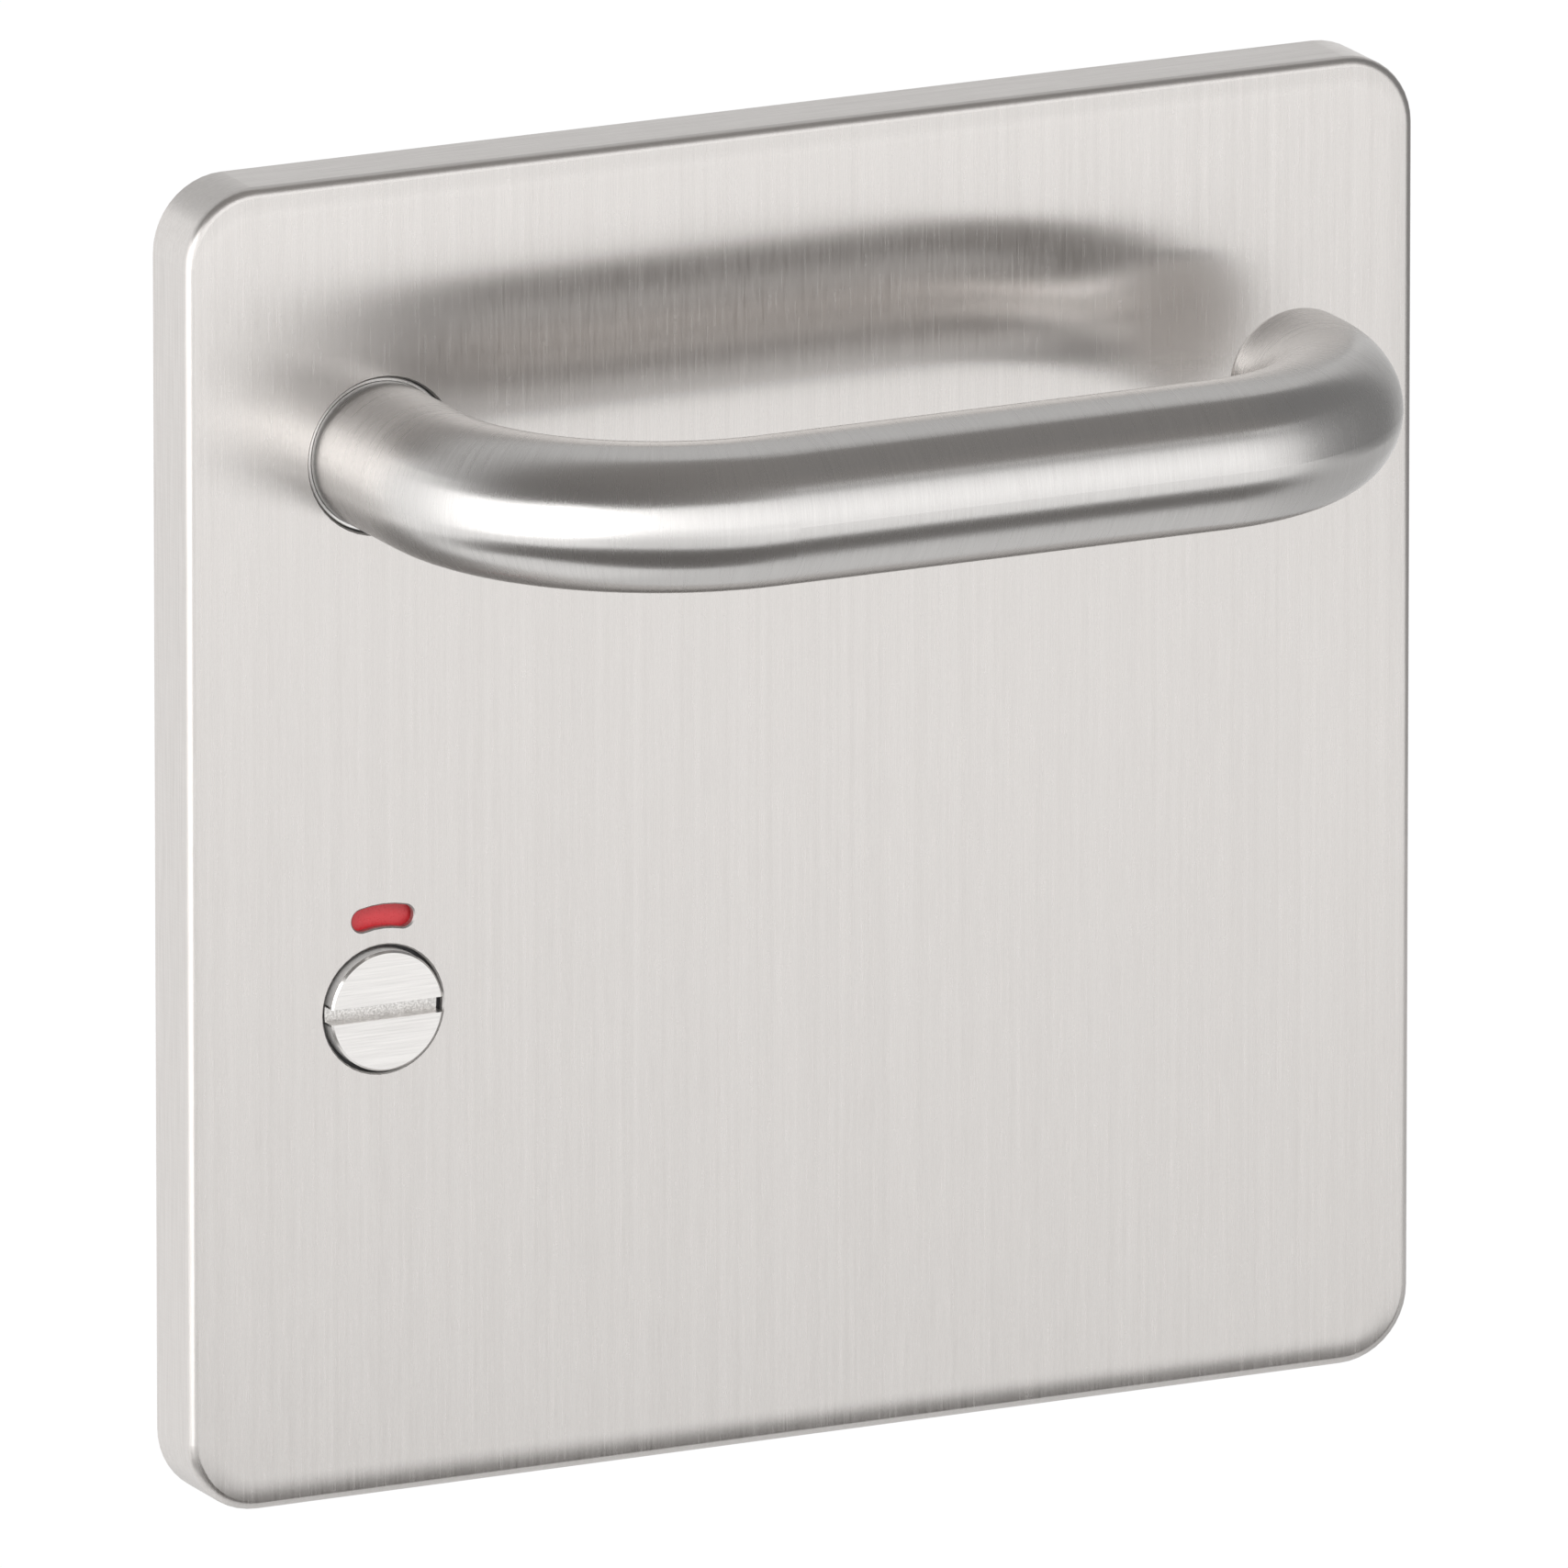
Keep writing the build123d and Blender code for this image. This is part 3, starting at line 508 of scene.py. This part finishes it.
LEFT_FAR = (-1.15, -1.1)
LEFT_FRONT = (-0.8, -0.45)
LEFT_MIDDLE = (-0.8, 0.2)
LEFT_REAR = (-0.8, 1.6)
RIGHT_FRONT = (0.45, -0.37)
RIGHT_MIDDLE = (0.45, 0.18)
RIGHT_REAR = (1.4, 1.6)
REAR_LOW_Z = 0.05
REAR_MIDDLE_Z = 0.62
REAR_HIGH_Z = 1.1
CEILING_Z = 1.8
TABLE_Z = FLOOR_Z + 0.01
LOW_FLAG_Z = TABLE_Z + 0.005
TABLE_SPLITS_X = (-0.45, -0.08, 0.25, 1.2)
FRONT_TABLE_X = (-2.0, 2.0)
FRONT_TABLE_Y = -1.6
REAR_TABLE_X = -1.2
REAR_TABLE_Y = (0.45, 1.7)

# Edges of the flags, as the bar's middle sees them: azimuth and height angle in degrees

OVERHEAD_FLAG_FRONT = ((-90, 20), (-60, 25), (-30, 26), (-15, 25),
                       (11, 26), (27, 36.5), (55, 37), (88, 37))
OVERHEAD_FLAG_REAR = ((2.4, 0.5, CEILING_Z), (-4.8, 0.5, CEILING_Z))
LOW_FLAG_MIDDLE = (0, -36.2)
LOW_FLAG_EDGE = ((-112, -37), (-92, -31.5), (-45, -31.5), (-15, -34.5), LOW_FLAG_MIDDLE,
                 (31, -30.7), (41, -28), (52, -30.5), (62, -35), (52, -46), (28, -62),
                 (0, -69), (-45, -66), (-70, -57), (-92, -47), (-112, -46))


def light_ray_share(tree):
    """1 on camera, glossy and transmission rays, and 0 on the others."""
    path = tree.nodes.new("ShaderNodeLightPath")
    share = path.outputs["Is Camera Ray"]
    for name in ("Is Glossy Ray", "Is Transmission Ray"):
        most = tree.nodes.new("ShaderNodeMath")
        most.operation = "MAXIMUM"
        tree.links.new(share, most.inputs[0])
        tree.links.new(path.outputs[name], most.inputs[1])
        share = most.outputs[0]
    return share


def studio_world():
    """White to the camera and in reflections, and a soft even light on the object."""
    world = bpy.data.worlds.new("studio")
    scene.world = world
    world.use_nodes = True
    tree = world.node_tree
    tree.nodes.clear()
    output = tree.nodes.new("ShaderNodeOutputWorld")
    mix = tree.nodes.new("ShaderNodeMixShader")
    tree.links.new(light_ray_share(tree), mix.inputs[0])
    for index, strength in ((1, AMBIENT), (2, 1.0)):
        back = tree.nodes.new("ShaderNodeBackground")
        back.inputs["Color"].default_value = (*WHITE, 1.0)
        back.inputs["Strength"].default_value = strength
        tree.links.new(back.outputs[0], mix.inputs[index])
    tree.links.new(mix.outputs[0], output.inputs[0])


def sheet_mesh(name, corners):
    """A flat sheet with the given corners."""
    mesh = bmesh.new()
    mesh.faces.new([mesh.verts.new(corner) for corner in corners])
    data = bpy.data.meshes.new(name)
    mesh.to_mesh(data)
    mesh.free()
    piece = bpy.data.objects.new(name, data)
    scene.collection.objects.link(piece)
    return piece


def pale_floor():
    half = FLOOR_SIZE / 2
    floor = sheet_mesh("floor", [(-half, -half, FLOOR_Z), (half, -half, FLOOR_Z),
                                 (half, half, FLOOR_Z), (-half, half, FLOOR_Z)])
    recipe = Recipe("pale_floor")
    diffuse = recipe.add("ShaderNodeBsdfDiffuse", Color=(*FLOOR_COLOUR, 1.0))
    glow = recipe.add("ShaderNodeEmission", Color=(*WHITE, 1.0), Strength=FLOOR_GLOW)
    share = recipe.times(light_ray_share(recipe.tree), FLOOR_GLOW_SHARE)
    place_on(floor, recipe.surface(recipe.blend(share, diffuse.outputs[0], glow.outputs[0])))


def glow_card(name, corners, glow_level, tint=WHITE):
    """A reflector or flag that shows only in the metal. glow_level makes its brightness."""
    card = sheet_mesh(name, corners)
    recipe = Recipe(name)
    glow = recipe.add("ShaderNodeEmission", Color=(*tint, 1.0),
                      Strength=glow_level(recipe, recipe.place()))
    place_on(card, recipe.surface(glow.outputs[0]))
    card.visible_camera = False
    card.visible_diffuse = False
    card.visible_transmission = False
    card.visible_volume_scatter = False
    card.visible_shadow = False


def even(level):
    return lambda recipe, place: level


def front_glow(recipe, place):
    """The front softbox is brightest on the left, dims at its right end, and falls off above
    and below a height of 0.2 m."""
    x, _, z = recipe.split(place)
    along = recipe.minus(recipe.remap(x, -2.3, -1.0, 1.5, 1.2),
                         recipe.remap(x, 1.8, 3.0, 0.0, 0.45))
    rise = recipe.maths("DIVIDE", recipe.minus(z, 0.2), 2.8)
    return recipe.minus(along, recipe.times(rise, rise))


def left_glow(recipe, place):
    """The left softbox is brightest at its front end."""
    _, y, _ = recipe.split(place)
    return recipe.remap(y, LEFT_FRONT[1], LEFT_MIDDLE[1], 2.1, 1.35)


def overhead_glow(recipe, place):
    """The overhead flag is darkest on the left."""
    x, _, _ = recipe.split(place)
    return recipe.remap(x, -1.5, 0.8, 0.15, 0.26)


def table_glow(recipe, place):
    """The table in front dims towards the object, and to the left, and is brightest far out."""
    x, y, _ = recipe.split(place)
    ahead = recipe.plus(recipe.remap(y, -1.4, -0.5, 1.1, 0.9),
                        recipe.remap(y, -1.45, -1.15, 0.1, 0.0))
    return recipe.times(ahead, recipe.remap(x, -0.15, 0.3, 0.8, 1.0))


def upright_card(name, start, end, z_range, glow_level):
    """A card that stands on a line, given by its two ends seen from above."""
    low, high = z_range
    glow_card(name, [(*start, low), (*end, low), (*end, high), (*start, high)], glow_level)


def level_card(name, x_range, y_range, z, glow_level):
    (x0, x1), (y0, y1) = x_range, y_range
    glow_card(name, [(x0, y0, z), (x1, y0, z), (x1, y1, z), (x0, y1, z)], glow_level)


def seen_at(azimuth, height_angle, z):
    """The spot at height z that the bar's middle sees at an azimuth, which is 0 straight out from
    the door and more to the right, and at a height angle."""
    away = (z - NECK.z) / math.tan(math.radians(height_angle))
    side = math.radians(azimuth)
    return BAR_MIDDLE_X + away * math.sin(side), BAR_AXIS_Y - away * math.cos(side), z


def front_cards():
    upright_card("front_softbox", (-6.0, -3.0), (3.0, -3.0), (FLOOR_Z, 2.6), front_glow)
    upright_card("left_softbox", LEFT_MIDDLE, LEFT_FRONT, (FLOOR_Z, 0.3), left_glow)
    upright_card("left_front_softbox", LEFT_FRONT, LEFT_FAR, (FLOOR_Z, 0.55), even(3.6))
    upright_card("left_rear_card", LEFT_MIDDLE, LEFT_REAR, (FLOOR_Z, 0.5), even(0.9))


def overhead_cards():
    front = [seen_at(*edge, CEILING_Z) for edge in OVERHEAD_FLAG_FRONT]
    glow_card("overhead_flag", front + list(OVERHEAD_FLAG_REAR), overhead_glow, FLAG_TINT)
    level_card("rear_top_card", (-4.0, 3.0), (0.5, 2.6), CEILING_Z, even(0.56))


def table_cards():
    far_left, left, right, far_right = TABLE_SPLITS_X
    front = seen_at(*LOW_FLAG_MIDDLE, TABLE_Z)[1]
    under = (front, REAR_TABLE_Y[0])
    level_card("front_table_card", FRONT_TABLE_X, (FRONT_TABLE_Y, front), TABLE_Z, table_glow)
    level_card("table_card", (left, right), under, TABLE_Z, even(0.66))
    level_card("left_table_card", (far_left, left), under, TABLE_Z, even(0.85))
    level_card("right_table_card", (right, far_right), under, TABLE_Z, even(0.5))
    level_card("rear_table_card", (REAR_TABLE_X, right), REAR_TABLE_Y, TABLE_Z, even(0.88))
    glow_card("low_flag", [seen_at(*edge, LOW_FLAG_Z) for edge in LOW_FLAG_EDGE],
              even(0.14), FLAG_TINT)


def rear_cards():
    upright_card("right_flag", RIGHT_FRONT, RIGHT_MIDDLE, (-0.1, 0.85), even(0.2))
    upright_card("right_rear_card", RIGHT_MIDDLE, RIGHT_REAR, (FLOOR_Z, 1.4), even(0.6))
    for name, z_range, level in (("rear_card", (REAR_LOW_Z, REAR_MIDDLE_Z), 1.0),
                                 ("rear_middle_card", (REAR_MIDDLE_Z, REAR_HIGH_Z), 0.5),
                                 ("rear_high_card", (REAR_HIGH_Z, CEILING_Z), 0.55)):
        upright_card(name, LEFT_REAR, RIGHT_REAR, z_range, even(level))


def sun(name, side, spread, strength):
    """A wide, far lamp that shines from the given side and doesn't show in the metal."""
    data = bpy.data.lights.new(name, "SUN")
    data.energy = strength
    data.angle = math.radians(spread)
    lamp = bpy.data.objects.new(name, data)
    scene.collection.objects.link(lamp)
    lamp.rotation_euler = Vector(side).to_track_quat("Z", "Y").to_euler()
    lamp.visible_glossy = False


def camera():
    data = bpy.data.cameras.new("photo_camera")
    data.sensor_width = CAMERA_SENSOR
    data.lens = CAMERA_LENS
    data.clip_end = CAMERA_REACH
    viewer = bpy.data.objects.new("photo_camera", data)
    scene.collection.objects.link(viewer)
    turn = (Matrix.Rotation(-CAMERA_YAW, 4, "Z")
            @ Matrix.Rotation(math.pi / 2 - CAMERA_PITCH, 4, "X")
            @ Matrix.Rotation(CAMERA_ROLL, 4, "Z"))
    viewer.matrix_world = Matrix.Translation(CAMERA_PLACE) @ turn
    scene.camera = viewer


studio_world()
pale_floor()
front_cards()
overhead_cards()
table_cards()
rear_cards()
for lamp_row in LAMPS:
    sun(*lamp_row)
camera()

scene.view_settings.view_transform = "Standard"
